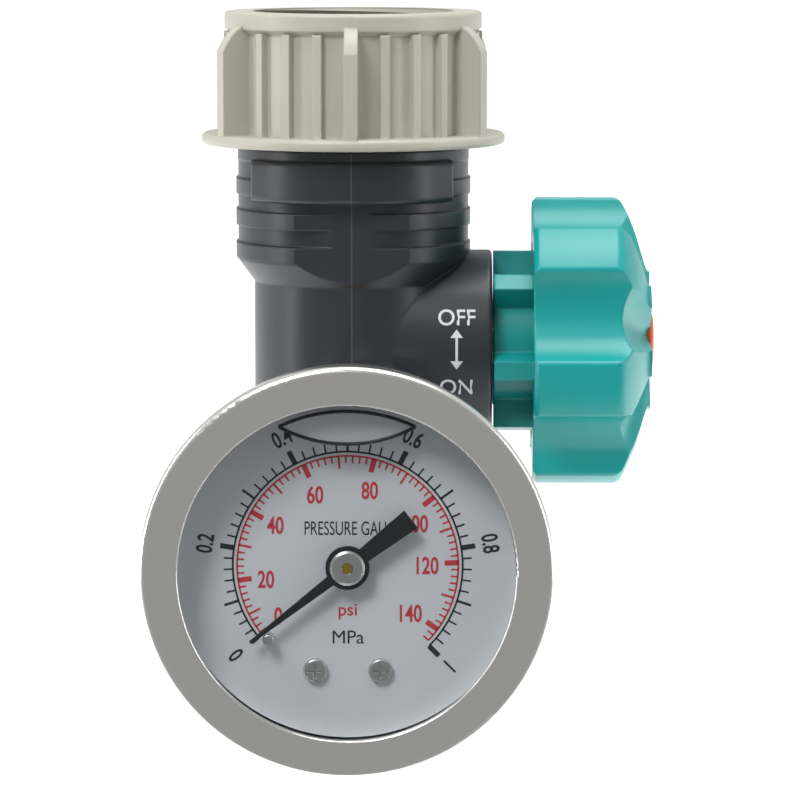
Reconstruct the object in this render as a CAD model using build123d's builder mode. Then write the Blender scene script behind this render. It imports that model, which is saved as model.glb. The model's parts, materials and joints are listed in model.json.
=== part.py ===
from build123d import *
from math import atan2, cos, degrees, pi, radians, sin, tan
import os

os.makedirs("parts", exist_ok=True)

# A hand-set hose pressure valve with a gauge. Millimetres, +Z up. The origin is the centre of the
# mouth of the swivel nut. The gauge faces -Y and the knob's axis runs along +X.

# ---- driving dimensions: hose threads and clearances ----
THREAD_MINOR_R = 12.1
THREAD_DEPTH = 1.1
THREAD_MAJOR_R = THREAD_MINOR_R + THREAD_DEPTH
RUN_GAP = 0.1
LOOSE_GAP = 0.3
SEAT_GAP = 0.05

# ---- swivel nut ----
NUT_HEIGHT = 16.0
NUT_CORE_R = THREAD_MINOR_R + 2.6
NUT_COLLAR_R = NUT_CORE_R + 0.85
NUT_COLLAR_H = 2.0
NUT_COLLAR_SLOPE = 0.6
NUT_RIB_R = NUT_CORE_R + 0.9
NUT_RIB_W = 1.15
NUT_RIB_TOP = 2.4
NUT_RIBS = 24
NUT_WING_EVERY = 4
NUT_WING_R = NUT_CORE_R + 3.4
NUT_WING_W = 1.65
NUT_WING_TOP = 1.6
NUT_WING_DROP = 3.0
NUT_FLANGE_R = NUT_CORE_R + 3.65
NUT_FLANGE_T = 1.4
NUT_WEB_T = 3.0
NUT_MOUTH_ROUND = 0.4
NUT_RELIEF_R = THREAD_MINOR_R + 0.5

# ---- inlet ----
BORE_R = 7.5
TAILPIECE_R = 10.2
TAILPIECE_FLANGE_R = THREAD_MINOR_R - 0.5
TAILPIECE_FLANGE_T = 2.1
TAILPIECE_DEPTH = 9.65
WASHER_T = 2.5
SCREEN_T = 0.5
SCREEN_GRIP = 0.7
SCREEN_HOLE_R = 0.6
SCREEN_PITCH = 1.75
RING_SECTION_R = 0.75

# ---- body ----
NECK_TOP_GAP = 0.35
NECK_R = 14.0
BAND_R = 14.2
GROOVE_SIDE_R = 13.95
GROOVE_FRONT_R = 12.6
BAND_TOPS = (-20.0, -23.75, -27.75)
BAND_H = 1.95
TOP_BAND_H = 1.5
FRONT_FLAT_Y = 12.45
PANEL_R = 14.9
PANEL_TOP = -17.5
PANEL_H = 5.0
PANEL_ROUND = 0.7
PANEL_HALF_DEG = 56.0
FLARE_TOP = -29.9
FLARE_H = 2.7
TUBE_R = 12.0
TUBE_END = -70.0
OUTLET_COLLAR_R = THREAD_MAJOR_R + 1.2
OUTLET_COLLAR_H = 3.0
OUTLET_END = -88.0
OUTLET_LEAD_IN = 0.8
OUTLET_BORE_R = 8.0
OUTLET_BORE_TOP = -52.0
INLET_BORE_END = -34.0

# ---- side boss and valve ----
VALVE_Z = -40.0
BOSS_R = 11.05
BOSS_END = 16.8
BOSS_ROUND = 0.5
CAVITY_R = 8.0
SEAT_X = -2.0
SEAT_BORE_R = 4.5
SEAT_BORE_DEPTH = 7.0
SIDE_PASSAGE_R = 3.0
BONNET_START = 5.2
BONNET_BORE_R = 8.6
BONNET_END = BOSS_END - 1.6
CLIP_T = 0.9
CLIP_GROOVE_R = 9.5
PLUNGER_APOTHEM = 4.2
PLUNGER_START = -0.9
PLUNGER_HEAD_R = 6.3
PLUNGER_HEAD_T = 2.4
PLUNGER_TRAVEL = 3.0
SEAT_WASHER_R = 6.0
SPINDLE_R = 2.5
SPINDLE_THREAD_R = 2.9
SPINDLE_THREAD_START = 4.9
SPINDLE_COLLAR_R = 3.8
SPINDLE_COLLAR_X = BOSS_END - 5.7
SPINDLE_COLLAR_T = 1.5
SPINDLE_SQUARE = 4.0
PLUNGER_END = SPINDLE_COLLAR_X - 3.6
WASHER_SCREW_R = 1.0
WASHER_SCREW_HEAD_R = 2.5
WASHER_SCREW_HEAD_T = 1.3
SCREW_SLOT_W = 0.5

# ---- knob ----
KNOB_R = 17.4
KNOB_GAP = 0.2
KNOB_HUB_START = BOSS_END + KNOB_GAP
KNOB_BACK = KNOB_HUB_START + 4.7
KNOB_SHOULDER = KNOB_BACK + 10.2
KNOB_FRONT = KNOB_SHOULDER + 4.1
KNOB_WALL = 1.6
KNOB_LOBES = 6
KNOB_LOBE_PHASE = 14.2
KNOB_LOBE_ROUND = 0.6
KNOB_LAND_DEG = 23.0
KNOB_VALLEY_R = 13.6
KNOB_GROOVE_HALF_DEG = 20.0
KNOB_GROOVE_TOP = KNOB_FRONT + 0.7
KNOB_GROOVE_KNEE = KNOB_SHOULDER + 0.3
KNOB_HUB_R = 7.5
KNOB_FIN_R = 10.9
KNOB_FIN_W = 2.4
CAP_R = 3.7
CAP_T = 1.7
CAP_CROWN = 0.35
KNOB_SCREW_R = 1.25
KNOB_SCREW_HEAD_R = 2.6
KNOB_SCREW_HEAD_T = 1.8
KNOB_SCREW_LENGTH = 7.0
SPINDLE_SQUARE_START = KNOB_HUB_START + 2.0
SPINDLE_END = KNOB_FRONT - 5.0

# ---- gauge ----
GAUGE_Z = -61.55
GAUGE_BOSS_R = 8.0
GAUGE_BOSS_Y = 15.0
PORT_R = 4.9
PORT_DEPTH = 5.0
STEM_BORE_R = 1.5
STEM_HEX_AF = 14.0
STEM_WASHER_T = 0.6
CASE_BACK_Y = 20.0
CASE_R = 21.0
CASE_WALL = 1.0
CASE_RIM_Y = 43.2
CASE_ROUND = 0.8
BEZEL_R = CASE_R + 2.5
BEZEL_BACK_R = CASE_R + 2.0
BEZEL_FRONT_Y = 47.0
BEZEL_BACK_Y = 39.8
BEZEL_ROUND = 0.8
LENS_R = CASE_R - 0.4
WINDOW_R = LENS_R - 1.6
LENS_T = 2.0
LENS_FRONT_Y = 46.2
DIAL_R = CASE_R - CASE_WALL - 0.2
DIAL_T = 0.5
DIAL_FRONT_Y = 40.4
DIAL_HOLE_R = 2.2
DIAL_SCREW_X = 3.7
DIAL_SCREW_DROP = 12.0
DIAL_SCREW_HEAD_R = 1.37
STOP_X = -9.0
STOP_DROP = 8.2
STOP_R = 0.65

# ---- gauge movement ----
PLATE_T = 1.0
PLATE_W = 12.0
REAR_PLATE_Y = 24.0
FRONT_PLATE_Y = 34.0
GEAR_MODULE = 0.35
PINION_TEETH = 10
SECTOR_FULL_TEETH = 50
SECTOR_SPREAD = 72.0
SECTOR_REST = -26.0
GEAR_BACKLASH = 0.12
GEAR_T = 1.2
GEAR_Y = 29.5
PINION_R = 0.6
TAIL_LENGTH = 4.0
LINK_LENGTH = 7.0
TUBE_COIL_R = 14.0
TUBE_COIL_W = 4.0
TUBE_COIL_T = 1.6
POINTER_Y = 41.9
POINTER_T = 0.4
POINTER_TIP = 14.0
POINTER_TAIL = 9.1
POINTER_REST = -127.8

# ---- derived places ----
neck_top = -NUT_HEIGHT - NECK_TOP_GAP
tailpiece_top = -NUT_HEIGHT + NUT_WEB_T + LOOSE_GAP + TAILPIECE_FLANGE_T
tailpiece_end = neck_top - TAILPIECE_DEPTH
neck_bore_r = TAILPIECE_R + SEAT_GAP
washer_r = THREAD_MINOR_R - RUN_GAP
flare_end = FLARE_TOP - FLARE_H
band_bottom = BAND_TOPS[0] - BAND_H
bonnet_r = BONNET_BORE_R - RUN_GAP
bonnet_nose_r = 5.5
bonnet_floor = SPINDLE_COLLAR_X + SPINDLE_COLLAR_T + RUN_GAP
bonnet_nose_end = BOSS_END - RUN_GAP
hex_bore_apothem = PLUNGER_APOTHEM + RUN_GAP
sector_z = GAUGE_Z - GEAR_MODULE * (PINION_TEETH + SECTOR_FULL_TEETH) / 2

VALVE_AXIS = Axis((0, 0, VALVE_Z), (1, 0, 0))
GAUGE_AXIS = Axis((0, 0, GAUGE_Z), (0, -1, 0))


def outline(points, plane):
    """A flat face with straight sides through the points."""
    with BuildSketch(plane) as face:
        with BuildLine():
            Polyline(*points, close=True)
        make_face()
    return face.sketch


def about_z(*points):
    """Half section about the hose axis, from (radius, height) points."""
    return outline(points, Plane.XZ)


def about_x(*points):
    """Half section about the knob's axis, from (x, radius) points."""
    return outline([(x, VALVE_Z + r) for x, r in points], Plane.XZ)


def about_y(*points):
    """Half section about the gauge's axis, from (distance forward, radius) points."""
    return outline([(-forward, GAUGE_Z + r) for forward, r in points], Plane.YZ)


def ring_section(centre, section_r, plane):
    """The round section of an O-ring."""
    with BuildSketch(plane) as face:
        with Locations(centre):
            Circle(section_r)
    return face.sketch


def ring_sector(plane, centre, inner_r, outer_r, start, sweep):
    """A flat piece of a ring between two radii, from the start angle through the sweep."""
    with BuildSketch(plane) as face:
        with BuildLine():
            outer = CenterArc(centre, outer_r, start, sweep)
            inner = CenterArc(centre, inner_r, start, sweep)
            Line(outer @ 0, inner @ 0)
            Line(outer @ 1, inner @ 1)
        make_face()
    return face.sketch


def front_plane(forward):
    """The plane parallel to the dial at this distance in front of the hose axis."""
    return Plane.XZ.offset(forward)


# ---- inlet pieces ----
with BuildPart() as nut_wing:
    with BuildSketch(Plane.XZ):
        with BuildLine():
            top = Line((THREAD_MINOR_R + 1.5, -NUT_WING_TOP), (NUT_RIB_R, -NUT_WING_TOP))
            RadiusArc(top @ 1, (NUT_WING_R, -NUT_WING_TOP - NUT_WING_DROP), 2 * NUT_WING_DROP)
            Polyline(
                (NUT_WING_R, -NUT_WING_TOP - NUT_WING_DROP),
                (NUT_WING_R, -NUT_HEIGHT + NUT_FLANGE_T / 2),
                (THREAD_MINOR_R + 1.5, -NUT_HEIGHT + NUT_FLANGE_T / 2),
                top @ 0,
            )
        make_face()
    extrude(amount=NUT_WING_W / 2, both=True)

with BuildPart() as swivel_nut:
    revolve(
        about_z(
            (0, 0),
            (NUT_COLLAR_R, 0),
            (NUT_COLLAR_R, -NUT_COLLAR_H),
            (NUT_CORE_R, -NUT_COLLAR_H - NUT_COLLAR_SLOPE),
            (NUT_CORE_R, -NUT_HEIGHT + NUT_FLANGE_T),
            (NUT_FLANGE_R, -NUT_HEIGHT + NUT_FLANGE_T),
            (NUT_FLANGE_R, -NUT_HEIGHT),
            (0, -NUT_HEIGHT),
        ),
        axis=Axis.Z,
    )
    rim_edges = swivel_nut.edges().filter_by(GeomType.CIRCLE).group_by(SortBy.RADIUS)[-1]
    fillet(rim_edges, NUT_FLANGE_T * 0.4)
    fillet(swivel_nut.faces().sort_by(Axis.Z)[-1].edges(), NUT_MOUTH_ROUND)
    with BuildSketch(Plane.XY.offset(-NUT_RIB_TOP)):
        with PolarLocations((NUT_CORE_R + NUT_RIB_R - 1) / 2, NUT_RIBS, start_angle=-90):
            Rectangle(NUT_RIB_R - NUT_CORE_R + 1, NUT_RIB_W)
    extrude(amount=-(NUT_HEIGHT - NUT_RIB_TOP - NUT_FLANGE_T / 2))
    with PolarLocations(0, NUT_RIBS // NUT_WING_EVERY, start_angle=-90):
        add(nut_wing.part)
    revolve(
        about_z(
            (0, 1),
            (THREAD_MINOR_R, 1),
            (THREAD_MINOR_R, tailpiece_top + WASHER_T),
            (NUT_RELIEF_R, tailpiece_top + WASHER_T),
            (NUT_RELIEF_R, -NUT_HEIGHT + NUT_WEB_T),
            (TAILPIECE_R + LOOSE_GAP, -NUT_HEIGHT + NUT_WEB_T),
            (TAILPIECE_R + LOOSE_GAP, -NUT_HEIGHT - 1),
            (0, -NUT_HEIGHT - 1),
        ),
        axis=Axis.Z,
        mode=Mode.SUBTRACT,
    )
swivel_nut.part.label = "swivel_nut"
export_step(swivel_nut.part, "parts/swivel_nut.step")

tail_ring_z = (neck_top + tailpiece_end) / 2
tail_groove_r = neck_bore_r - 2 * RING_SECTION_R - SEAT_GAP
with BuildPart() as tailpiece:
    revolve(
        about_z(
            (BORE_R, tailpiece_top),
            (TAILPIECE_FLANGE_R, tailpiece_top),
            (TAILPIECE_FLANGE_R, tailpiece_top - TAILPIECE_FLANGE_T),
            (TAILPIECE_R, tailpiece_top - TAILPIECE_FLANGE_T),
            (TAILPIECE_R, tail_ring_z + RING_SECTION_R + RUN_GAP),
            (tail_groove_r, tail_ring_z + RING_SECTION_R + RUN_GAP),
            (tail_groove_r, tail_ring_z - RING_SECTION_R - RUN_GAP),
            (TAILPIECE_R, tail_ring_z - RING_SECTION_R - RUN_GAP),
            (TAILPIECE_R, tailpiece_end),
            (BORE_R, tailpiece_end),
        ),
        axis=Axis.Z,
    )
tailpiece.part.label = "tailpiece"
export_step(tailpiece.part, "parts/tailpiece.step")

with BuildPart() as tailpiece_o_ring:
    ring_centre_r = neck_bore_r - RING_SECTION_R - SEAT_GAP / 2
    revolve(ring_section((ring_centre_r, tail_ring_z), RING_SECTION_R, Plane.XZ), axis=Axis.Z)
tailpiece_o_ring.part.label = "tailpiece_o_ring"
export_step(tailpiece_o_ring.part, "parts/tailpiece_o_ring.step")

washer_top = tailpiece_top + WASHER_T
screen_z = tailpiece_top + WASHER_T * 0.3
with BuildPart() as inlet_washer:
    with BuildSketch(Plane.XY.offset(tailpiece_top)):
        Circle(washer_r)
        Circle(BORE_R, mode=Mode.SUBTRACT)
    extrude(amount=WASHER_T)
    with BuildSketch(Plane.XY.offset(screen_z)):
        Circle(BORE_R + SCREEN_GRIP + RUN_GAP)
    extrude(amount=SCREEN_T + RUN_GAP, mode=Mode.SUBTRACT)
inlet_washer.part.label = "inlet_washer"
export_step(inlet_washer.part, "parts/inlet_washer.step")

with BuildPart() as inlet_screen:
    with BuildSketch(Plane.XY.offset(screen_z + RUN_GAP / 2)):
        Circle(BORE_R + SCREEN_GRIP)
        for ring in range(4):
            with PolarLocations(ring * SCREEN_PITCH, max(1, 6 * ring)):
                Circle(SCREEN_HOLE_R, mode=Mode.SUBTRACT)
    extrude(amount=SCREEN_T)
inlet_screen.part.label = "inlet_screen"
export_step(inlet_screen.part, "parts/inlet_screen.step")

# ---- body ----
groove_tops = [neck_top - TOP_BAND_H] + [top - BAND_H for top in BAND_TOPS[:-1]]
with BuildPart() as grip_panel:
    extrude(
        ring_sector(
            Plane.XY.offset(PANEL_TOP), (0, 0), neck_bore_r + 1, PANEL_R,
            270 - PANEL_HALF_DEG, 2 * PANEL_HALF_DEG,
        ),
        amount=-PANEL_H,
    )
    outer_face = grip_panel.faces().filter_by(GeomType.CYLINDER).sort_by(Axis.Y)[0]
    fillet(outer_face.edges(), PANEL_ROUND)

with BuildPart() as valve_body:
    revolve(
        about_z(
            (0, neck_top),
            (NECK_R, neck_top),
            (NECK_R, FLARE_TOP),
            (TUBE_R, flare_end),
            (TUBE_R, TUBE_END),
            (OUTLET_COLLAR_R, TUBE_END),
            (OUTLET_COLLAR_R, TUBE_END - OUTLET_COLLAR_H),
            (THREAD_MAJOR_R, TUBE_END - OUTLET_COLLAR_H),
            (THREAD_MAJOR_R, OUTLET_END + OUTLET_LEAD_IN),
            (THREAD_MAJOR_R - OUTLET_LEAD_IN, OUTLET_END),
            (0, OUTLET_END),
        ),
        axis=Axis.Z,
    )
    for top in BAND_TOPS:
        with BuildSketch(Plane.XY.offset(top)):
            Circle(BAND_R)
        extrude(amount=-BAND_H)
    for groove_top, groove_end in zip(groove_tops, BAND_TOPS):
        with BuildSketch(Plane.XY.offset(groove_top)):
            Circle(BAND_R + 1)
            Ellipse(GROOVE_SIDE_R, GROOVE_FRONT_R, mode=Mode.SUBTRACT)
        extrude(amount=groove_end - groove_top, mode=Mode.SUBTRACT)
    with BuildSketch(Plane.XY.offset(band_bottom)):
        with Locations((0, -FRONT_FLAT_Y - 2), (0, FRONT_FLAT_Y + 2)):
            Rectangle(2 * BAND_R, 4)
    extrude(amount=flare_end - band_bottom, mode=Mode.SUBTRACT)
    add(grip_panel.part)
    add(grip_panel.part.mirror(Plane.XZ))
    revolve(about_x((0, 0), (0, BOSS_R), (BOSS_END, BOSS_R), (BOSS_END, 0)), axis=VALVE_AXIS)
    boss_rim = valve_body.edges().filter_by(GeomType.CIRCLE).sort_by(Axis.X)[-1]
    fillet(boss_rim, BOSS_ROUND)
    revolve(
        about_y((0, 0), (0, GAUGE_BOSS_R), (GAUGE_BOSS_Y, GAUGE_BOSS_R), (GAUGE_BOSS_Y, 0)),
        axis=GAUGE_AXIS,
    )
    revolve(
        about_z(
            (0, neck_top + 1),
            (neck_bore_r, neck_top + 1),
            (neck_bore_r, tailpiece_end),
            (BORE_R, tailpiece_end),
            (BORE_R, INLET_BORE_END),
            (0, INLET_BORE_END),
        ),
        axis=Axis.Z,
        mode=Mode.SUBTRACT,
    )
    revolve(
        about_x(
            (SEAT_X - SEAT_BORE_DEPTH, 0),
            (SEAT_X - SEAT_BORE_DEPTH, SEAT_BORE_R),
            (SEAT_X, SEAT_BORE_R),
            (SEAT_X, CAVITY_R),
            (BONNET_START, CAVITY_R),
            (BONNET_START, BONNET_BORE_R),
            (BONNET_END, BONNET_BORE_R),
            (BONNET_END, CLIP_GROOVE_R),
            (BONNET_END + CLIP_T, CLIP_GROOVE_R),
            (BONNET_END + CLIP_T, BONNET_BORE_R),
            (BOSS_END + 1, BONNET_BORE_R),
            (BOSS_END + 1, 0),
        ),
        axis=VALVE_AXIS,
        mode=Mode.SUBTRACT,
    )
    with BuildSketch(Plane.XY.offset(VALVE_Z)):
        with Locations((SEAT_X - SEAT_BORE_DEPTH + SIDE_PASSAGE_R - 1, 0)):
            Circle(SIDE_PASSAGE_R)
    extrude(amount=OUTLET_BORE_TOP - VALVE_Z - 1, mode=Mode.SUBTRACT)
    with BuildSketch(Plane.XY.offset(OUTLET_BORE_TOP)):
        Circle(OUTLET_BORE_R)
    extrude(amount=OUTLET_END - OUTLET_BORE_TOP - 1, mode=Mode.SUBTRACT)
    revolve(
        about_y(
            (0, 0),
            (0, STEM_BORE_R),
            (GAUGE_BOSS_Y - PORT_DEPTH, STEM_BORE_R),
            (GAUGE_BOSS_Y - PORT_DEPTH, PORT_R),
            (GAUGE_BOSS_Y + 1, PORT_R),
            (GAUGE_BOSS_Y + 1, 0),
        ),
        axis=GAUGE_AXIS,
        mode=Mode.SUBTRACT,
    )
valve_body.part.label = "valve_body"
export_step(valve_body.part, "parts/valve_body.step")

# ---- valve pieces in the side boss ----
bonnet_ring_x = bonnet_floor - RING_SECTION_R
bonnet_groove_r = BONNET_BORE_R - 2 * RING_SECTION_R - SEAT_GAP
spindle_ring_section = RING_SECTION_R * 0.75
spindle_ring_r = SPINDLE_R + SEAT_GAP + spindle_ring_section
spindle_ring_xs = [bonnet_floor + share * (bonnet_nose_end - bonnet_floor) for share in (0.28, 0.72)]
with BuildPart() as bonnet:
    revolve(
        about_x(
            (BONNET_START, 0),
            (BONNET_START, bonnet_r),
            (bonnet_ring_x - RING_SECTION_R - RUN_GAP, bonnet_r),
            (bonnet_ring_x - RING_SECTION_R - RUN_GAP, bonnet_groove_r),
            (bonnet_ring_x + RING_SECTION_R + RUN_GAP, bonnet_groove_r),
            (bonnet_ring_x + RING_SECTION_R + RUN_GAP, bonnet_r),
            (BONNET_END, bonnet_r),
            (BONNET_END, bonnet_nose_r),
            (bonnet_nose_end, bonnet_nose_r),
            (bonnet_nose_end, 0),
        ),
        axis=VALVE_AXIS,
    )
    with BuildSketch(Plane.YZ.offset(BONNET_START)):
        with Locations((0, VALVE_Z)):
            RegularPolygon(hex_bore_apothem, 6, major_radius=False)
    extrude(amount=bonnet_floor - BONNET_START, mode=Mode.SUBTRACT)
    revolve(
        about_x(
            (bonnet_floor - 1, 0),
            (bonnet_floor - 1, SPINDLE_R + RUN_GAP),
            (BOSS_END, SPINDLE_R + RUN_GAP),
            (BOSS_END, 0),
        ),
        axis=VALVE_AXIS,
        mode=Mode.SUBTRACT,
    )
    for ring_x in spindle_ring_xs:
        half_width = spindle_ring_section + SEAT_GAP
        groove_floor = spindle_ring_r + half_width
        revolve(
            about_x(
                (ring_x - half_width, 0),
                (ring_x - half_width, groove_floor),
                (ring_x + half_width, groove_floor),
                (ring_x + half_width, 0),
            ),
            axis=VALVE_AXIS,
            mode=Mode.SUBTRACT,
        )
bonnet.part.label = "bonnet"
export_step(bonnet.part, "parts/bonnet.step")

with BuildPart() as bonnet_o_ring:
    bonnet_ring_z = VALVE_Z + BONNET_BORE_R - RING_SECTION_R - SEAT_GAP / 2
    section = ring_section((bonnet_ring_x, bonnet_ring_z), RING_SECTION_R, Plane.XZ)
    revolve(section, axis=VALVE_AXIS)
bonnet_o_ring.part.label = "bonnet_o_ring"
export_step(bonnet_o_ring.part, "parts/bonnet_o_ring.step")

with BuildPart() as bonnet_clip:
    clip_start = BONNET_END + SEAT_GAP / 2
    with BuildSketch(Plane.YZ.offset(clip_start)):
        with Locations((0, VALVE_Z)):
            Circle(CLIP_GROOVE_R - RUN_GAP)
            Circle(bonnet_nose_r + 1, mode=Mode.SUBTRACT)
        with Locations((0, VALVE_Z - BONNET_BORE_R)):
            Rectangle(bonnet_nose_r, 2 * bonnet_nose_r, mode=Mode.SUBTRACT)
    extrude(amount=CLIP_T - SEAT_GAP)
bonnet_clip.part.label = "bonnet_clip"
export_step(bonnet_clip.part, "parts/bonnet_clip.step")

with BuildPart() as spindle:
    revolve(
        about_x(
            (SPINDLE_THREAD_START, 0),
            (SPINDLE_THREAD_START, SPINDLE_THREAD_R),
            (SPINDLE_COLLAR_X, SPINDLE_THREAD_R),
            (SPINDLE_COLLAR_X, SPINDLE_COLLAR_R),
            (SPINDLE_COLLAR_X + SPINDLE_COLLAR_T, SPINDLE_COLLAR_R),
            (SPINDLE_COLLAR_X + SPINDLE_COLLAR_T, SPINDLE_R),
            (SPINDLE_END, SPINDLE_R),
            (SPINDLE_END, 0),
        ),
        axis=VALVE_AXIS,
    )
    with BuildSketch(Plane.YZ.offset(SPINDLE_SQUARE_START)):
        with Locations((0, VALVE_Z)):
            Circle(SPINDLE_R + 1)
            Rectangle(SPINDLE_SQUARE, SPINDLE_SQUARE, mode=Mode.SUBTRACT)
    extrude(amount=SPINDLE_END - SPINDLE_SQUARE_START + 1, mode=Mode.SUBTRACT)
    with BuildSketch(Plane.YZ.offset(SPINDLE_END)):
        with Locations((0, VALVE_Z)):
            Circle(KNOB_SCREW_R + SEAT_GAP)
    extrude(amount=-KNOB_SCREW_LENGTH - 1, mode=Mode.SUBTRACT)
spindle.part.label = "spindle"
export_step(spindle.part, "parts/spindle.step")

with BuildPart() as spindle_o_rings:
    for ring_x in spindle_ring_xs:
        section = ring_section((ring_x, VALVE_Z + spindle_ring_r), spindle_ring_section, Plane.XZ)
        revolve(section, axis=VALVE_AXIS)
spindle_o_rings.part.label = "spindle_o_rings"
export_step(spindle_o_rings.part, "parts/spindle_o_rings.step")

plunger_bore_start = PLUNGER_START + PLUNGER_HEAD_T
with BuildPart() as plunger:
    with BuildSketch(Plane.YZ.offset(plunger_bore_start)):
        with Locations((0, VALVE_Z)):
            RegularPolygon(PLUNGER_APOTHEM, 6, major_radius=False)
    extrude(amount=PLUNGER_END - plunger_bore_start)
    revolve(
        about_x(
            (PLUNGER_START, 0),
            (PLUNGER_START, PLUNGER_HEAD_R),
            (plunger_bore_start, PLUNGER_HEAD_R),
            (plunger_bore_start, 0),
        ),
        axis=VALVE_AXIS,
    )
    revolve(
        about_x(
            (PLUNGER_START, 0),
            (PLUNGER_START, WASHER_SCREW_R + SEAT_GAP),
            (plunger_bore_start, WASHER_SCREW_R + SEAT_GAP),
            (plunger_bore_start, SPINDLE_THREAD_R + RUN_GAP),
            (PLUNGER_END, SPINDLE_THREAD_R + RUN_GAP),
            (PLUNGER_END, 0),
        ),
        axis=VALVE_AXIS,
        mode=Mode.SUBTRACT,
    )
plunger.part.label = "plunger"
export_step(plunger.part, "parts/plunger.step")

with BuildPart() as seat_washer:
    with BuildSketch(Plane.YZ.offset(SEAT_X + SEAT_GAP)):
        with Locations((0, VALVE_Z)):
            Circle(SEAT_WASHER_R)
            Circle(WASHER_SCREW_R + SEAT_GAP, mode=Mode.SUBTRACT)
    extrude(amount=PLUNGER_START - SEAT_X - SEAT_GAP)
seat_washer.part.label = "seat_washer"
export_step(seat_washer.part, "parts/seat_washer.step")

with BuildPart() as washer_screw:
    washer_face = SEAT_X + SEAT_GAP
    revolve(
        about_x(
            (washer_face - WASHER_SCREW_HEAD_T, 0),
            (washer_face - WASHER_SCREW_HEAD_T, WASHER_SCREW_HEAD_R * 0.8),
            (washer_face, WASHER_SCREW_HEAD_R),
            (washer_face, WASHER_SCREW_R),
            (plunger_bore_start - 0.2, WASHER_SCREW_R),
            (plunger_bore_start - 0.2, 0),
        ),
        axis=VALVE_AXIS,
    )
    with BuildSketch(Plane.YZ.offset(washer_face - WASHER_SCREW_HEAD_T)):
        with Locations((0, VALVE_Z)):
            Rectangle(SCREW_SLOT_W, 3 * WASHER_SCREW_HEAD_R)
    extrude(amount=WASHER_SCREW_HEAD_T / 2, mode=Mode.SUBTRACT)
washer_screw.part.label = "washer_screw"
export_step(washer_screw.part, "parts/washer_screw.step")

# ---- knob ----
valley_edge = radians((360 / KNOB_LOBES - KNOB_LAND_DEG) / 2)
valley_span = KNOB_R * cos(valley_edge) - KNOB_VALLEY_R
valley_distance = (KNOB_R**2 - KNOB_VALLEY_R**2) / (2 * valley_span)
valley_r = valley_distance - KNOB_VALLEY_R
cap_seat_x = KNOB_FRONT - CAP_T
screw_seat_x = SPINDLE_END + 0.7
with BuildPart() as knob_crown:
    with BuildSketch(Plane.XZ):
        with BuildLine():
            base = Polyline(
                (KNOB_FRONT - 0.05, VALVE_Z),
                (KNOB_BACK, VALVE_Z),
                (KNOB_BACK, VALVE_Z + KNOB_R - 0.5),
                (KNOB_BACK + 0.5, VALVE_Z + KNOB_R),
                (KNOB_SHOULDER - 0.6, VALVE_Z + KNOB_R),
            )
            Spline(
                base @ 1,
                (KNOB_SHOULDER + 0.9, VALVE_Z + KNOB_R - 1.1),
                (KNOB_SHOULDER + 2.6, VALVE_Z + KNOB_R - 5.2),
                (KNOB_FRONT - 0.4, VALVE_Z + KNOB_R / 2),
                base @ 0,
                tangents=((1, 0), (0, -1)),
            )
        make_face()
    revolve(axis=VALVE_AXIS)

groove_slope = degrees(atan2(KNOB_GROOVE_TOP - KNOB_GROOVE_KNEE, KNOB_VALLEY_R))
groove_start = (KNOB_GROOVE_TOP, 0, VALVE_Z)
groove_length = 1.5 * KNOB_R
with BuildPart() as crown_groove:
    with Locations(Location(groove_start, (0, KNOB_GROOVE_HALF_DEG - groove_slope, 0))):
        Cone(
            0, groove_length * tan(radians(KNOB_GROOVE_HALF_DEG)), groove_length,
            align=(Align.CENTER, Align.CENTER, Align.MIN),
        )

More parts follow.
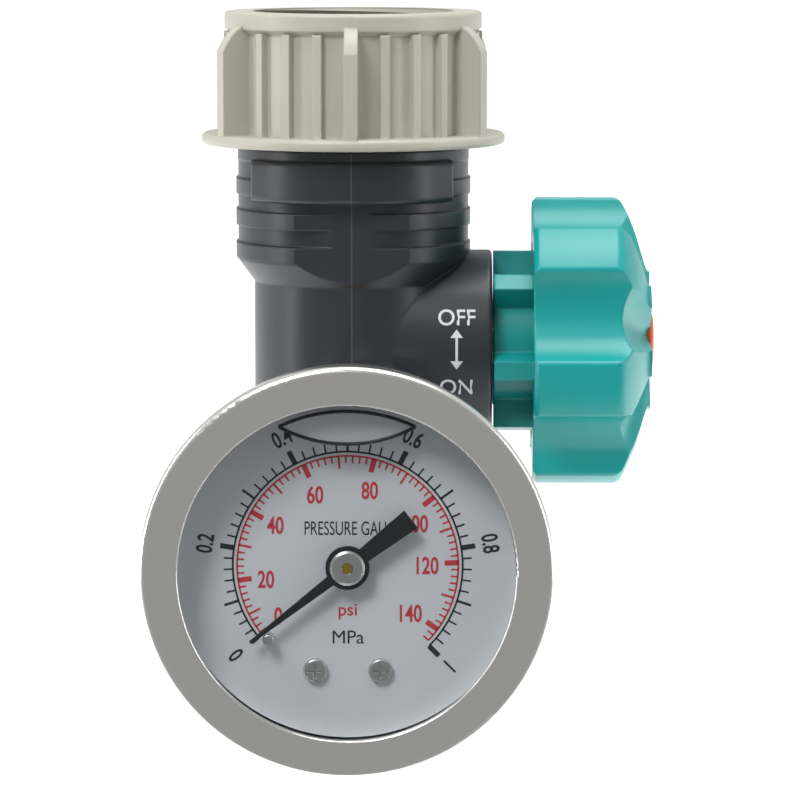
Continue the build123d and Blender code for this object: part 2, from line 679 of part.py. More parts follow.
with BuildPart() as knob:
    with BuildSketch(Plane.YZ.offset(KNOB_BACK)) as lobes:
        with Locations((0, VALVE_Z)):
            Circle(KNOB_R)
            valley_start = KNOB_LOBE_PHASE + 180 / KNOB_LOBES
            with PolarLocations(valley_distance, KNOB_LOBES, start_angle=valley_start):
                Circle(valley_r, mode=Mode.SUBTRACT)
        fillet(lobes.vertices(), KNOB_LOBE_ROUND)
    extrude(amount=KNOB_FRONT - KNOB_BACK + 1)
    add(knob_crown.part, mode=Mode.INTERSECT)
    with BuildSketch(Plane.YZ.offset(KNOB_BACK)):
        with Locations((0, VALVE_Z)):
            Circle(KNOB_VALLEY_R - KNOB_WALL)
            Circle(KNOB_HUB_R, mode=Mode.SUBTRACT)
            with PolarLocations(KNOB_VALLEY_R / 2, KNOB_LOBES, start_angle=KNOB_LOBE_PHASE):
                Rectangle(KNOB_VALLEY_R, KNOB_FIN_W, mode=Mode.SUBTRACT)
    extrude(amount=KNOB_SHOULDER - KNOB_WALL - KNOB_BACK, mode=Mode.SUBTRACT)
    with BuildSketch(Plane.YZ.offset(KNOB_HUB_START)):
        with Locations((0, VALVE_Z)):
            Circle(KNOB_HUB_R)
            with PolarLocations(KNOB_FIN_R / 2, KNOB_LOBES, start_angle=KNOB_LOBE_PHASE):
                Rectangle(KNOB_FIN_R, KNOB_FIN_W)
    extrude(amount=KNOB_BACK - KNOB_HUB_START)
    for lobe in range(KNOB_LOBES):
        turn = valley_start - 90 + lobe * 360 / KNOB_LOBES
        add(crown_groove.part.rotate(VALVE_AXIS, turn), mode=Mode.SUBTRACT)
    revolve(
        about_x(
            (KNOB_HUB_START - 1, 0),
            (KNOB_HUB_START - 1, SPINDLE_R + RUN_GAP),
            (SPINDLE_SQUARE_START, SPINDLE_R + RUN_GAP),
            (SPINDLE_SQUARE_START, KNOB_SCREW_R + RUN_GAP),
            (screw_seat_x, KNOB_SCREW_R + RUN_GAP),
            (screw_seat_x, KNOB_SCREW_HEAD_R + RUN_GAP),
            (cap_seat_x, KNOB_SCREW_HEAD_R + RUN_GAP),
            (cap_seat_x, CAP_R + SEAT_GAP),
            (KNOB_FRONT + 2, CAP_R + SEAT_GAP),
            (KNOB_FRONT + 2, 0),
        ),
        axis=VALVE_AXIS,
        mode=Mode.SUBTRACT,
    )
    with BuildSketch(Plane.YZ.offset(SPINDLE_SQUARE_START)):
        with Locations((0, VALVE_Z)):
            Rectangle(SPINDLE_SQUARE + RUN_GAP, SPINDLE_SQUARE + RUN_GAP)
    extrude(amount=SPINDLE_END + RUN_GAP - SPINDLE_SQUARE_START, mode=Mode.SUBTRACT)
knob.part.label = "knob"
export_step(knob.part, "parts/knob.step")

with BuildPart() as knob_screw:
    head_end = screw_seat_x + KNOB_SCREW_HEAD_T
    revolve(
        about_x(
            (SPINDLE_END - KNOB_SCREW_LENGTH, 0),
            (SPINDLE_END - KNOB_SCREW_LENGTH, KNOB_SCREW_R),
            (screw_seat_x, KNOB_SCREW_R),
            (screw_seat_x, KNOB_SCREW_HEAD_R),
            (head_end - 0.4, KNOB_SCREW_HEAD_R),
            (head_end, KNOB_SCREW_HEAD_R - 0.5),
            (head_end, 0),
        ),
        axis=VALVE_AXIS,
    )
    with BuildSketch(Plane.YZ.offset(head_end)):
        with Locations((0, VALVE_Z)):
            Rectangle(KNOB_SCREW_HEAD_R, SCREW_SLOT_W)
            Rectangle(SCREW_SLOT_W, KNOB_SCREW_HEAD_R)
    extrude(amount=-1.1, mode=Mode.SUBTRACT)
knob_screw.part.label = "knob_screw"
export_step(knob_screw.part, "parts/knob_screw.step")

with BuildPart() as knob_cap:
    with BuildSketch(Plane.XZ):
        with BuildLine():
            cap_sides = Polyline(
                (KNOB_FRONT + CAP_CROWN, VALVE_Z),
                (cap_seat_x + SEAT_GAP, VALVE_Z),
                (cap_seat_x + SEAT_GAP, VALVE_Z + CAP_R),
                (KNOB_FRONT, VALVE_Z + CAP_R),
            )
            Spline(cap_sides @ 1, cap_sides @ 0, tangents=((1, -0.8), (0, -1)))
        make_face()
    revolve(axis=VALVE_AXIS)
knob_cap.part.label = "knob_cap"
export_step(knob_cap.part, "parts/knob_cap.step")

# ---- gauge housing ----
gauge_centre = (0, GAUGE_Z)
stem_flange_front = CASE_BACK_Y + CASE_WALL + 2.0
hex_back = GAUGE_BOSS_Y + STEM_WASHER_T
case_hole_r = 5.1
case_screw_pitch_r = 10.0
case_screw_r = 0.9
case_screw_head_r = 1.5
coil_start = -50.0
coil_sweep = 250.0
coil_back_y = 26.0
coil_front_y = coil_back_y + TUBE_COIL_W
foot_depth = coil_front_y - stem_flange_front
dial_back_y = DIAL_FRONT_Y - DIAL_T
dial_screw_places = [(side * DIAL_SCREW_X, GAUGE_Z - DIAL_SCREW_DROP) for side in (-1, 1)]
dial_screw_r = 0.6

with BuildPart() as gauge_stem:
    revolve(
        about_y(
            (GAUGE_BOSS_Y - PORT_DEPTH + RUN_GAP, STEM_BORE_R),
            (GAUGE_BOSS_Y - PORT_DEPTH + RUN_GAP, PORT_R - SEAT_GAP),
            (hex_back, PORT_R - SEAT_GAP),
            (hex_back, case_hole_r - RUN_GAP),
            (CASE_BACK_Y + CASE_WALL, case_hole_r - RUN_GAP),
            (CASE_BACK_Y + CASE_WALL, TUBE_COIL_R - 1),
            (stem_flange_front, TUBE_COIL_R - 1),
            (stem_flange_front, STEM_BORE_R),
        ),
        axis=GAUGE_AXIS,
    )
    with BuildSketch(front_plane(hex_back)):
        with Locations(gauge_centre):
            RegularPolygon(STEM_HEX_AF / 2, 6, major_radius=False)
            Circle(PORT_R - 0.5, mode=Mode.SUBTRACT)
    extrude(amount=CASE_BACK_Y - hex_back)
    with BuildSketch(front_plane(CASE_BACK_Y + CASE_WALL)):
        with Locations(gauge_centre):
            with PolarLocations(TUBE_COIL_R, 1, start_angle=coil_start):
                Rectangle(4.5, 4)
    extrude(amount=coil_front_y - CASE_BACK_Y - CASE_WALL)
    with BuildSketch(front_plane(CASE_BACK_Y)):
        with Locations(gauge_centre):
            with PolarLocations(case_screw_pitch_r, 3, start_angle=90):
                Circle(case_screw_r + SEAT_GAP)
    extrude(amount=4, mode=Mode.SUBTRACT)
gauge_stem.part.label = "gauge_stem"
export_step(gauge_stem.part, "parts/gauge_stem.step")

with BuildPart() as stem_washer:
    with BuildSketch(front_plane(GAUGE_BOSS_Y)):
        with Locations(gauge_centre):
            Circle(GAUGE_BOSS_R - 0.6)
            Circle(PORT_R, mode=Mode.SUBTRACT)
    extrude(amount=STEM_WASHER_T)
stem_washer.part.label = "stem_washer"
export_step(stem_washer.part, "parts/stem_washer.step")

plug_y = 33.0
plug_head_t = 0.6
plug_hole_r = 3.0
with BuildPart() as gauge_case:
    revolve(
        about_y(
            (CASE_BACK_Y, case_hole_r),
            (CASE_BACK_Y, CASE_R - CASE_ROUND),
            (CASE_BACK_Y + CASE_ROUND, CASE_R),
            (CASE_RIM_Y, CASE_R),
            (CASE_RIM_Y, CASE_R - CASE_WALL),
            (CASE_BACK_Y + CASE_WALL, CASE_R - CASE_WALL),
            (CASE_BACK_Y + CASE_WALL, case_hole_r),
        ),
        axis=GAUGE_AXIS,
    )
    with BuildSketch(front_plane(CASE_BACK_Y - 1)):
        with Locations(gauge_centre):
            with PolarLocations(case_screw_pitch_r, 3, start_angle=90):
                Circle(case_screw_r + SEAT_GAP)
    extrude(amount=CASE_WALL + 2, mode=Mode.SUBTRACT)
    with BuildSketch(Plane.XY.offset(GAUGE_Z + CASE_R / 2)):
        with Locations((0, -plug_y)):
            Circle(plug_hole_r)
    extrude(amount=CASE_R, mode=Mode.SUBTRACT)
gauge_case.part.label = "gauge_case"
export_step(gauge_case.part, "parts/gauge_case.step")

with BuildPart() as fill_plug:
    with BuildSketch(Plane.XY.offset(GAUGE_Z + CASE_R - CASE_WALL - 1)):
        with Locations((0, -plug_y)):
            Circle(plug_hole_r - SEAT_GAP)
    extrude(amount=CASE_WALL + 1.5)
    with BuildSketch(Plane.XY.offset(GAUGE_Z + CASE_R + SEAT_GAP)):
        with Locations((0, -plug_y)):
            Circle(plug_hole_r + 1.2)
    extrude(amount=plug_head_t)
    fillet(fill_plug.faces().sort_by(Axis.Z)[-1].edges(), plug_head_t / 2)
fill_plug.part.label = "fill_plug"
export_step(fill_plug.part, "parts/fill_plug.step")

with BuildPart() as case_screws:
    with BuildSketch(front_plane(CASE_BACK_Y)):
        with Locations(gauge_centre):
            with PolarLocations(case_screw_pitch_r, 3, start_angle=90):
                Circle(case_screw_r)
    extrude(amount=stem_flange_front - CASE_BACK_Y - 0.2)
    with BuildSketch(front_plane(CASE_BACK_Y)):
        with Locations(gauge_centre):
            with PolarLocations(case_screw_pitch_r, 3, start_angle=90):
                Circle(case_screw_head_r)
    extrude(amount=-1.0)
    with BuildSketch(front_plane(CASE_BACK_Y - 1.0)):
        with Locations(gauge_centre):
            with PolarLocations(case_screw_pitch_r, 3, start_angle=90):
                Rectangle(4, 0.4)
    extrude(amount=0.5, mode=Mode.SUBTRACT)
case_screws.part.label = "case_screws"
export_step(case_screws.part, "parts/case_screws.step")

bezel_bore_r = CASE_R + RUN_GAP
lip_y = LENS_FRONT_Y + SEAT_GAP
with BuildPart() as bezel:
    revolve(
        about_y(
            (BEZEL_BACK_Y, bezel_bore_r),
            (BEZEL_BACK_Y, BEZEL_BACK_R - 0.3),
            (BEZEL_BACK_Y + 0.3, BEZEL_BACK_R),
            (BEZEL_FRONT_Y, BEZEL_R),
            (BEZEL_FRONT_Y, WINDOW_R),
            (lip_y, WINDOW_R),
            (lip_y, bezel_bore_r),
        ),
        axis=GAUGE_AXIS,
    )
    front_rims = bezel.faces().sort_by(Axis.Y)[0].edges().sort_by(SortBy.RADIUS)
    fillet(front_rims[-1], BEZEL_ROUND)
    fillet(front_rims[0], 0.3)
bezel.part.label = "bezel"
export_step(bezel.part, "parts/bezel.step")

with BuildPart() as lens:
    with BuildSketch(front_plane(LENS_FRONT_Y - LENS_T)):
        with Locations(gauge_centre):
            Circle(LENS_R)
    extrude(amount=LENS_T)
lens.part.label = "lens"
export_step(lens.part, "parts/lens.step")

with BuildPart() as lens_gasket:
    with BuildSketch(front_plane(CASE_RIM_Y)):
        with Locations(gauge_centre):
            Circle(LENS_R)
            Circle(WINDOW_R + 0.5, mode=Mode.SUBTRACT)
    extrude(amount=LENS_FRONT_Y - LENS_T - CASE_RIM_Y)
lens_gasket.part.label = "lens_gasket"
export_step(lens_gasket.part, "parts/lens_gasket.step")

with BuildPart() as dial_plate:
    with BuildSketch(front_plane(dial_back_y)):
        with Locations(gauge_centre):
            Circle(DIAL_R)
            Circle(DIAL_HOLE_R, mode=Mode.SUBTRACT)
        with Locations(*dial_screw_places):
            Circle(dial_screw_r + SEAT_GAP, mode=Mode.SUBTRACT)
        with Locations((STOP_X, GAUGE_Z - STOP_DROP)):
            Circle(STOP_R - 0.1, mode=Mode.SUBTRACT)
    extrude(amount=DIAL_T)
dial_plate.part.label = "dial_plate"
export_step(dial_plate.part, "parts/dial_plate.step")

with BuildPart() as stop_pin:
    with BuildSketch(front_plane(DIAL_FRONT_Y)):
        with Locations((STOP_X, GAUGE_Z - STOP_DROP)):
            Circle(STOP_R)
    extrude(amount=POINTER_Y + POINTER_T + 0.4 - DIAL_FRONT_Y)
    fillet(stop_pin.faces().sort_by(Axis.Y)[0].edges(), 0.25)
    with BuildSketch(front_plane(dial_back_y - 0.3)):
        with Locations((STOP_X, GAUGE_Z - STOP_DROP)):
            Circle(STOP_R - 0.1 - SEAT_GAP)
    extrude(amount=DIAL_T + 0.3)
stop_pin.part.label = "stop_pin"
export_step(stop_pin.part, "parts/stop_pin.step")

with BuildPart() as dial_screws:
    with BuildSketch(front_plane(DIAL_FRONT_Y - 3.5)):
        with Locations(*dial_screw_places):
            Circle(dial_screw_r)
    extrude(amount=3.5)
    with BuildSketch(front_plane(DIAL_FRONT_Y)):
        with Locations(*dial_screw_places):
            Circle(DIAL_SCREW_HEAD_R)
    extrude(amount=0.8)
    fillet(dial_screws.faces().group_by(Axis.Y)[0].edges(), 0.3)
    with BuildSketch(front_plane(DIAL_FRONT_Y + 0.8)):
        with Locations(*dial_screw_places):
            Rectangle(1.7, 0.35)
            Rectangle(0.35, 1.7)
    extrude(amount=-0.5, mode=Mode.SUBTRACT)
dial_screws.part.label = "dial_screws"
export_step(dial_screws.part, "parts/dial_screws.step")

# ---- gauge movement ----
sector_centre = (0, sector_z)
gear_back_y = GEAR_Y - GEAR_T / 2
tail_deg = 154.0
tail_pin = (TAIL_LENGTH * cos(radians(tail_deg)), sector_z + TAIL_LENGTH * sin(radians(tail_deg)))
tail_pin_r = 0.5
arbor_r = 0.8
tooth_pitch = pi * GEAR_MODULE
addendum = 0.75 * GEAR_MODULE
dedendum = 1.05 * GEAR_MODULE
plate_centre = (0, GAUGE_Z - 3.8)
plate_size = (10.4, 20.8)
pillar_places = [(DIAL_SCREW_X, GAUGE_Z - DIAL_SCREW_DROP), (0, GAUGE_Z + 4.5)]
pillar_r = 1.2


def gear_tooth(pitch_r, root_share):
    """One straight-sided tooth whose pitch point lies at the origin, pointing along X."""
    half_pitch_width = (tooth_pitch / 2 - GEAR_BACKLASH) / 2
    half_tip_width = half_pitch_width - addendum * 0.36
    half_root_width = half_pitch_width + dedendum * root_share
    with BuildSketch() as tooth:
        with BuildLine():
            Polyline(
                (-dedendum - 0.15, -half_root_width),
                (0, -half_pitch_width),
                (addendum, -half_tip_width),
                (addendum, half_tip_width),
                (0, half_pitch_width),
                (-dedendum - 0.15, half_root_width),
                close=True,
            )
        make_face()
    return tooth.sketch


with BuildPart() as rear_plate:
    with BuildSketch(front_plane(REAR_PLATE_Y - PLATE_T)):
        with Locations(plate_centre):
            RectangleRounded(*plate_size, 1.5)
        with Locations(gauge_centre):
            Circle(PINION_R + RUN_GAP, mode=Mode.SUBTRACT)
        with Locations(sector_centre):
            Circle(arbor_r + RUN_GAP, mode=Mode.SUBTRACT)
    extrude(amount=PLATE_T)
rear_plate.part.label = "movement_rear_plate"
export_step(rear_plate.part, "parts/movement_rear_plate.step")

with BuildPart() as front_plate:
    with BuildSketch(front_plane(FRONT_PLATE_Y - PLATE_T)):
        with Locations(plate_centre):
            RectangleRounded(*plate_size, 1.5)
        with Locations(gauge_centre):
            Circle(PINION_R + RUN_GAP, mode=Mode.SUBTRACT)
        with Locations(sector_centre):
            Circle(arbor_r + RUN_GAP, mode=Mode.SUBTRACT)
    extrude(amount=PLATE_T)
    with BuildSketch(front_plane(FRONT_PLATE_Y)):
        with Locations(*dial_screw_places):
            Circle(DIAL_SCREW_HEAD_R)
            Circle(dial_screw_r + SEAT_GAP, mode=Mode.SUBTRACT)
    extrude(amount=dial_back_y - FRONT_PLATE_Y)
front_plate.part.label = "movement_front_plate"
export_step(front_plate.part, "parts/movement_front_plate.step")

with BuildPart() as pillars:
    with BuildSketch(front_plane(REAR_PLATE_Y)):
        with Locations(*pillar_places):
            Circle(pillar_r)
    extrude(amount=FRONT_PLATE_Y - PLATE_T - REAR_PLATE_Y)
pillars.part.label = "movement_pillars"
export_step(pillars.part, "parts/movement_pillars.step")

half_foot_deg = 8.6
tip_deg = coil_start + coil_sweep
with BuildPart() as bourdon_tube:
    coil = ring_sector(
        front_plane(coil_back_y), gauge_centre,
        TUBE_COIL_R - TUBE_COIL_T / 2, TUBE_COIL_R + TUBE_COIL_T / 2,
        coil_start + half_foot_deg, coil_sweep - half_foot_deg,
    )
    extrude(coil, amount=TUBE_COIL_W)
    with BuildSketch(front_plane(coil_back_y)):
        with Locations(gauge_centre):
            with PolarLocations(TUBE_COIL_R, 1, start_angle=tip_deg):
                Rectangle(3, 3)
    extrude(amount=TUBE_COIL_W)
bourdon_tube.part.label = "bourdon_tube"
export_step(bourdon_tube.part, "parts/bourdon_tube.step")

with BuildPart() as pinion_shaft:
    with BuildSketch(front_plane(REAR_PLATE_Y - PLATE_T + RUN_GAP)):
        with Locations(gauge_centre):
            Circle(PINION_R)
    extrude(amount=POINTER_Y + POINTER_T + 0.3 - (REAR_PLATE_Y - PLATE_T + RUN_GAP))
    pinion_pitch_r = GEAR_MODULE * PINION_TEETH / 2
    pinion_tooth = gear_tooth(pinion_pitch_r, 0.0)
    with BuildSketch(front_plane(GEAR_Y - GEAR_T)):
        with Locations(gauge_centre):
            Circle(pinion_pitch_r - dedendum)
            with PolarLocations(pinion_pitch_r, PINION_TEETH):
                add(pinion_tooth)
    extrude(amount=2 * GEAR_T)
pinion_shaft.part.label = "pinion_shaft"
export_step(pinion_shaft.part, "parts/pinion_shaft.step")

sector_pitch_r = GEAR_MODULE * SECTOR_FULL_TEETH / 2
sector_root_r = sector_pitch_r - dedendum
sector_step = 360 / SECTOR_FULL_TEETH
sector_teeth = 11
sector_first = 90 - (sector_teeth - 2) * sector_step
with BuildPart() as sector_gear:
    sector_tooth = gear_tooth(sector_pitch_r, 0.3)
    web_edge = sector_step / 2
    web = ring_sector(
        front_plane(gear_back_y), sector_centre, arbor_r / 2, sector_root_r,
        sector_first - web_edge, (sector_teeth - 1) * sector_step + 2 * web_edge,
    )
    extrude(web, amount=GEAR_T)
    with BuildSketch(front_plane(gear_back_y)):
        with Locations(sector_centre):
            Circle(2 * arbor_r)
            for tooth in range(sector_teeth):
                tooth_deg = sector_first + tooth * sector_step
                with PolarLocations(sector_pitch_r, 1, start_angle=tooth_deg):
                    add(sector_tooth)
            with PolarLocations(TAIL_LENGTH / 2, 1, start_angle=tail_deg):
                Rectangle(TAIL_LENGTH, 2 * arbor_r)
        with Locations(tail_pin):
            Circle(2 * tail_pin_r)
    extrude(amount=GEAR_T)
    with BuildSketch(front_plane(gear_back_y + GEAR_T)):
        with Locations(tail_pin):
            Circle(tail_pin_r)
    extrude(amount=1.3)
    with BuildSketch(front_plane(REAR_PLATE_Y - PLATE_T + RUN_GAP)):
        with Locations(sector_centre):
            Circle(arbor_r)
    extrude(amount=FRONT_PLATE_Y - REAR_PLATE_Y + PLATE_T - 2 * RUN_GAP)
sector_gear.part.label = "sector_gear"
export_step(sector_gear.part, "parts/sector_gear.step")

link_back_y = coil_front_y + 0.5
tip_pin = (
    TUBE_COIL_R * cos(radians(tip_deg)),
    GAUGE_Z + TUBE_COIL_R * sin(radians(tip_deg)),
)
with BuildPart() as link:
    with BuildSketch(front_plane(link_back_y)):
        with BuildLine():
            Line(tip_pin, tail_pin)
        trace(line_width=2 * tail_pin_r)
        with Locations(tip_pin, tail_pin):
            Circle(2.4 * tail_pin_r)
        with Locations(tail_pin):
            Circle(tail_pin_r + RUN_GAP, mode=Mode.SUBTRACT)
    extrude(amount=0.5)
    with BuildSketch(front_plane(link_back_y + 0.5)):
        with Locations(tip_pin):
            Circle(1.6 * tail_pin_r)
    extrude(amount=0.3)
link.part.label = "link"
export_step(link.part, "parts/link.step")

# ---- pointer ----
pointer_bush_r = DIAL_HOLE_R + 0.3
pointer_root_w = 1.4
pointer_tip_w = 0.35
pointer_tail_w = 2.5
pointer_points = [
    (POINTER_TIP, -pointer_tip_w / 2),
    (0, -pointer_root_w / 2),
    (-POINTER_TAIL, -pointer_tail_w / 2),
    (-POINTER_TAIL, pointer_tail_w / 2),
    (0, pointer_root_w / 2),
    (POINTER_TIP, pointer_tip_w / 2),
]
pointer_blade = outline(pointer_points, Plane.XY)
with BuildPart() as pointer:
    with BuildSketch(front_plane(POINTER_Y)):
        with Locations(Location((0, GAUGE_Z), 90 - POINTER_REST)):
            add(pointer_blade)
        with Locations(gauge_centre):
            Circle(pointer_bush_r)
            Circle(PINION_R + SEAT_GAP, mode=Mode.SUBTRACT)
    extrude(amount=POINTER_T)
pointer.part.label = "pointer"
export_step(pointer.part, "parts/pointer.step")

with BuildPart() as pointer_hub:
    hub_back_y = POINTER_Y + POINTER_T
    revolve(
        about_y(
            (hub_back_y, PINION_R + SEAT_GAP),
            (hub_back_y, 2.0),
            (hub_back_y + 0.25, 2.0),
            (hub_back_y + 0.45, 1.7),
            (hub_back_y + 0.45, PINION_R + SEAT_GAP),
        ),
        axis=GAUGE_AXIS,
    )
pointer_hub.part.label = "pointer_hub"
export_step(pointer_hub.part, "parts/pointer_hub.step")
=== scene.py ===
"""A hand-set hose pressure valve with a liquid-filled gauge: its finishes, dial print and studio."""
import json
import math

import bmesh
import bpy
from mathutils import Matrix, Vector


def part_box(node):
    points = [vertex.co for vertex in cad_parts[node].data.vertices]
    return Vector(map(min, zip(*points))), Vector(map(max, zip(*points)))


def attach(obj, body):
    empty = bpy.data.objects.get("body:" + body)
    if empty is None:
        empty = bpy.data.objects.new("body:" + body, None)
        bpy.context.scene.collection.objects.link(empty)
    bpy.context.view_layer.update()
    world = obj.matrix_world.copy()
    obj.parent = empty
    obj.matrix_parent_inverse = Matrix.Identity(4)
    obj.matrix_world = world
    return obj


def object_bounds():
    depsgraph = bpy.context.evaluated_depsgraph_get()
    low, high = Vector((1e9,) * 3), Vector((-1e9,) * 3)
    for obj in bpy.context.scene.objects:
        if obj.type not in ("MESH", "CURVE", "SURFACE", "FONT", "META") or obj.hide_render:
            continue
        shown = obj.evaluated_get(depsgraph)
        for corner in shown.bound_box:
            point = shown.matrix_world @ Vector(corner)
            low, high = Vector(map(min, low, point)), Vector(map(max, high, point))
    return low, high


MM = 0.001

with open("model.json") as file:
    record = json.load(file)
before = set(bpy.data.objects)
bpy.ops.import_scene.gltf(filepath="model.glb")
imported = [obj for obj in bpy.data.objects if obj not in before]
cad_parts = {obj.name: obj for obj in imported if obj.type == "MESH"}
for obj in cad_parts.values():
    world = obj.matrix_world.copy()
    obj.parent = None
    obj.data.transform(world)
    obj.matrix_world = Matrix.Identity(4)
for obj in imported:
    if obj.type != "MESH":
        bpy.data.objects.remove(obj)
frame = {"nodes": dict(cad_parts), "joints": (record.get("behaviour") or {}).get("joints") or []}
cad_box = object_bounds()
nodes = frame["nodes"]
joints = {joint["name"]: joint for joint in frame["joints"]}

# ---- places read from the frame ----
dial_low, dial_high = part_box("dial_plate")
body_low, body_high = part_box("valve_body")
GAUGE_Z = (dial_low[2] + dial_high[2]) / 2
DIAL_FACE_Y = dial_low[1]
LENS_BACK_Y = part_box("lens")[1][1]
KNOB_Z = joints["knob_turn"]["pos_m"][2]
BOSS_END_X = body_high[0]
BODY_FOOT_Z = body_low[2]
NUT_MOUTH_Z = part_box("swivel_nut")[1][2]

# ---- 3/4 inch hose threads ----
THREAD_R = 13.2 * MM
THREAD_PITCH = 1.814 * MM
OUTER_THREAD_LENGTH = 15.0 * MM
INNER_THREAD_LENGTH = 8.1 * MM
OUTER_THREAD_REACH = 0.3 * MM
INNER_THREAD_REACH = 0.9 * MM

# ---- moulded and printed details ----
# width of the painted highlight drawn down the parting line
PARTING_HIGHLIGHT_WIDTH = 0.16 * MM
PRINT_LIFT = 0.03 * MM
CAPITAL_SHARE = 0.73

# ---- dial layout, millimetres and degrees clockwise from the top ----
SCALE_START = -135.0
SCALE_SWEEP = 270.0
PSI_PER_MPA = 145.038
ARC_STEPS = 120
MPA_ARC_R = 13.06
MPA_ARC_WIDTH = 0.22
MPA_MARKS = 50
MPA_TICKS = {1: (1.05, 0.2), 5: (1.7, 0.28), 10: (1.6, 0.6)}
MPA_NUMBER_R = 16.3
ZERO_SHIFT = 6
PSI_ARC_R = 12.57
PSI_ARC_WIDTH = 0.2
PSI_FIRST = 4
PSI_LAST = 144
PSI_TICKS = {2: (0.8, 0.2), 10: (1.45, 0.25), 20: (1.55, 0.6)}
PSI_PLACES = {
    "0": (-7.9, -5.9), "20": (-9.3, -1.7), "40": (-8.2, 4.5), "60": (-3.7, 8.0),
    "80": (2.5, 8.5), "100": (7.7, 4.7), "120": (8.9, -0.1), "140": (7.0, -5.6),
}
NUMBER_WEIGHT = 0.02
NUMBER_NARROW = 0.7

# ---- air bubble ----
# radius of the dark tube round the bubble, which is painted shade for the dark rim of its edge
BUBBLE_SHADE_RIM_R = 0.2 * MM
BUBBLE_ENDS_Z = GAUGE_Z + 16.3 * MM
BUBBLE_HALF_WIDTH = 7.7 * MM
BUBBLE_RISES = (1.75 * MM, -1.95 * MM)
BUBBLE_BEHIND_LENS = 0.4 * MM
BUBBLE_STEPS = 24

# ---- marks on the side boss, millimetres ----
BOSS_MARK_R = 11.05 * MM
BOSS_MARK_INSET = 4.3 * MM
BOSS_WORDS = {"OFF": 3.7, "ON": -4.7}
BOSS_CAPITALS = 1.9
ARROW_REACH = 2.4 * MM
ARROW_HEAD_LENGTH = 1.0 * MM
ARROW_HEAD_HALF_WIDTH = 0.75 * MM
ARROW_SHAFT = (0.3 * MM, 3.4 * MM)


def scale_angle(mpa):
    """Where a pressure lies on the dial."""
    return SCALE_START + SCALE_SWEEP * mpa


# ---- material building ----
def linear(hex_colour):
    """A linear RGBA colour from an sRGB hex value."""
    channels = [int(hex_colour[i:i + 2], 16) / 255 for i in (1, 3, 5)]
    return [c / 12.92 if c <= 0.04045 else ((c + 0.055) / 1.055) ** 2.4 for c in channels] + [1.0]


def new_material(name):
    """A material with one Principled shader."""
    material = bpy.data.materials.new(name)
    material.use_nodes = True
    tree = material.node_tree
    return material, tree, tree.nodes["Principled BSDF"]


def add_node(tree, kind, inputs=None, **settings):
    """Adds a node with its settings. An input is a value, or the output socket that feeds it."""
    node = tree.nodes.new(kind)
    for name, value in settings.items():
        setattr(node, name, value)
    for socket, value in (inputs or {}).items():
        if isinstance(value, bpy.types.NodeSocket):
            tree.links.new(value, node.inputs[socket])
        else:
            node.inputs[socket].default_value = value
    return node


def moulded_plastic(name, colour, shade, roughness, grain=0.35, depth=0.02, edge=0.35):
    """Injection-moulded plastic (nylon, ABS or acetal): an even colour with faint flow marks 9 mm long,
    a tool grain and softly rounded edges, both in millimetres. Real tool grain is nearer 0.05 mm and
    is drawn coarser here so that it shows."""
    material, tree, shader = new_material(name)
    shader.inputs["IOR"].default_value = 1.52
    place = add_node(tree, "ShaderNodeTexCoord").outputs["Object"]
    flow = add_node(tree, "ShaderNodeTexNoise", {"Vector": place, "Scale": 1 / (9 * MM), "Detail": 3.0})
    tint = add_node(tree, "ShaderNodeMix", {"Factor": flow.outputs["Fac"]}, data_type="RGBA")
    tint.inputs[6].default_value = linear(colour)
    tint.inputs[7].default_value = linear(shade)
    tree.links.new(tint.outputs[2], shader.inputs["Base Color"])
    sheen = add_node(
        tree, "ShaderNodeMapRange",
        {"Value": flow.outputs["Fac"], "To Min": roughness - 0.05, "To Max": roughness + 0.05},
    )
    tree.links.new(sheen.outputs["Result"], shader.inputs["Roughness"])
    speckle = add_node(
        tree, "ShaderNodeTexNoise", {"Vector": place, "Scale": 1 / (grain * MM), "Detail": 2.0},
    )
    soft_edge = add_node(tree, "ShaderNodeBevel", {"Radius": edge * MM}, samples=6)
    bump = add_node(
        tree, "ShaderNodeBump",
        {
            "Strength": 0.5, "Distance": depth * MM,
            "Height": speckle.outputs["Fac"], "Normal": soft_edge.outputs["Normal"],
        },
    )
    tree.links.new(bump.outputs["Normal"], shader.inputs["Normal"])
    return material


